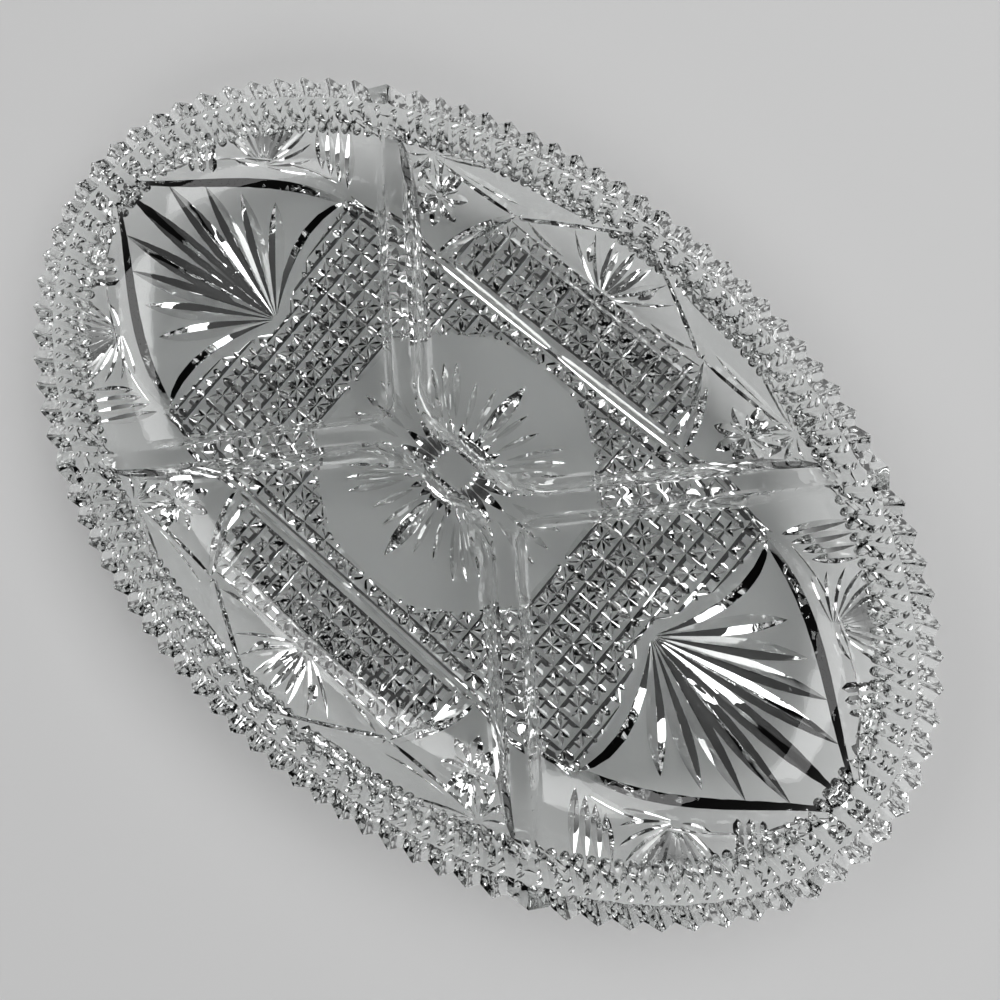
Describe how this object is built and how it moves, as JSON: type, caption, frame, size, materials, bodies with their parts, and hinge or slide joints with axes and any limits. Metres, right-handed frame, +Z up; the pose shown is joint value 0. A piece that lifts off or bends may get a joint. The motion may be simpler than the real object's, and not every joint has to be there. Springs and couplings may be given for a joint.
{
  "type": "relish tray",
  "caption": "Oval clear glass relish tray with a coved wall, sawtooth rim, crossed dividers that make separate compartments, and a cut-style pattern under the floor.",
  "frame": {"origin": "middle of the flat foot, on the table", "axes": "+X along the tray, +Y across it, +Z up out of the compartments"},
  "size_m": [0.305, 0.201, 0.034],
  "materials": {
    "glass": "polished clear colourless pressed crystal glass"
  },
  "bodies": {
    "root": {"floor_centre": "glass", "floor_right": "glass", "wall_right": "glass", "rim_right": "glass", "floor_back": "glass", "wall_back": "glass", "rim_back": "glass", "floor_left": "glass", "wall_left": "glass", "rim_left": "glass", "floor_front": "glass", "wall_front": "glass", "rim_front": "glass", "divider_back_right": "glass", "corner_tooth_back_right": "glass", "divider_back_left": "glass", "corner_tooth_back_left": "glass", "divider_front_left": "glass", "corner_tooth_front_left": "glass", "divider_front_right": "glass", "corner_tooth_front_right": "glass", "centre_boss": "glass"}
  },
  "joints": []
}
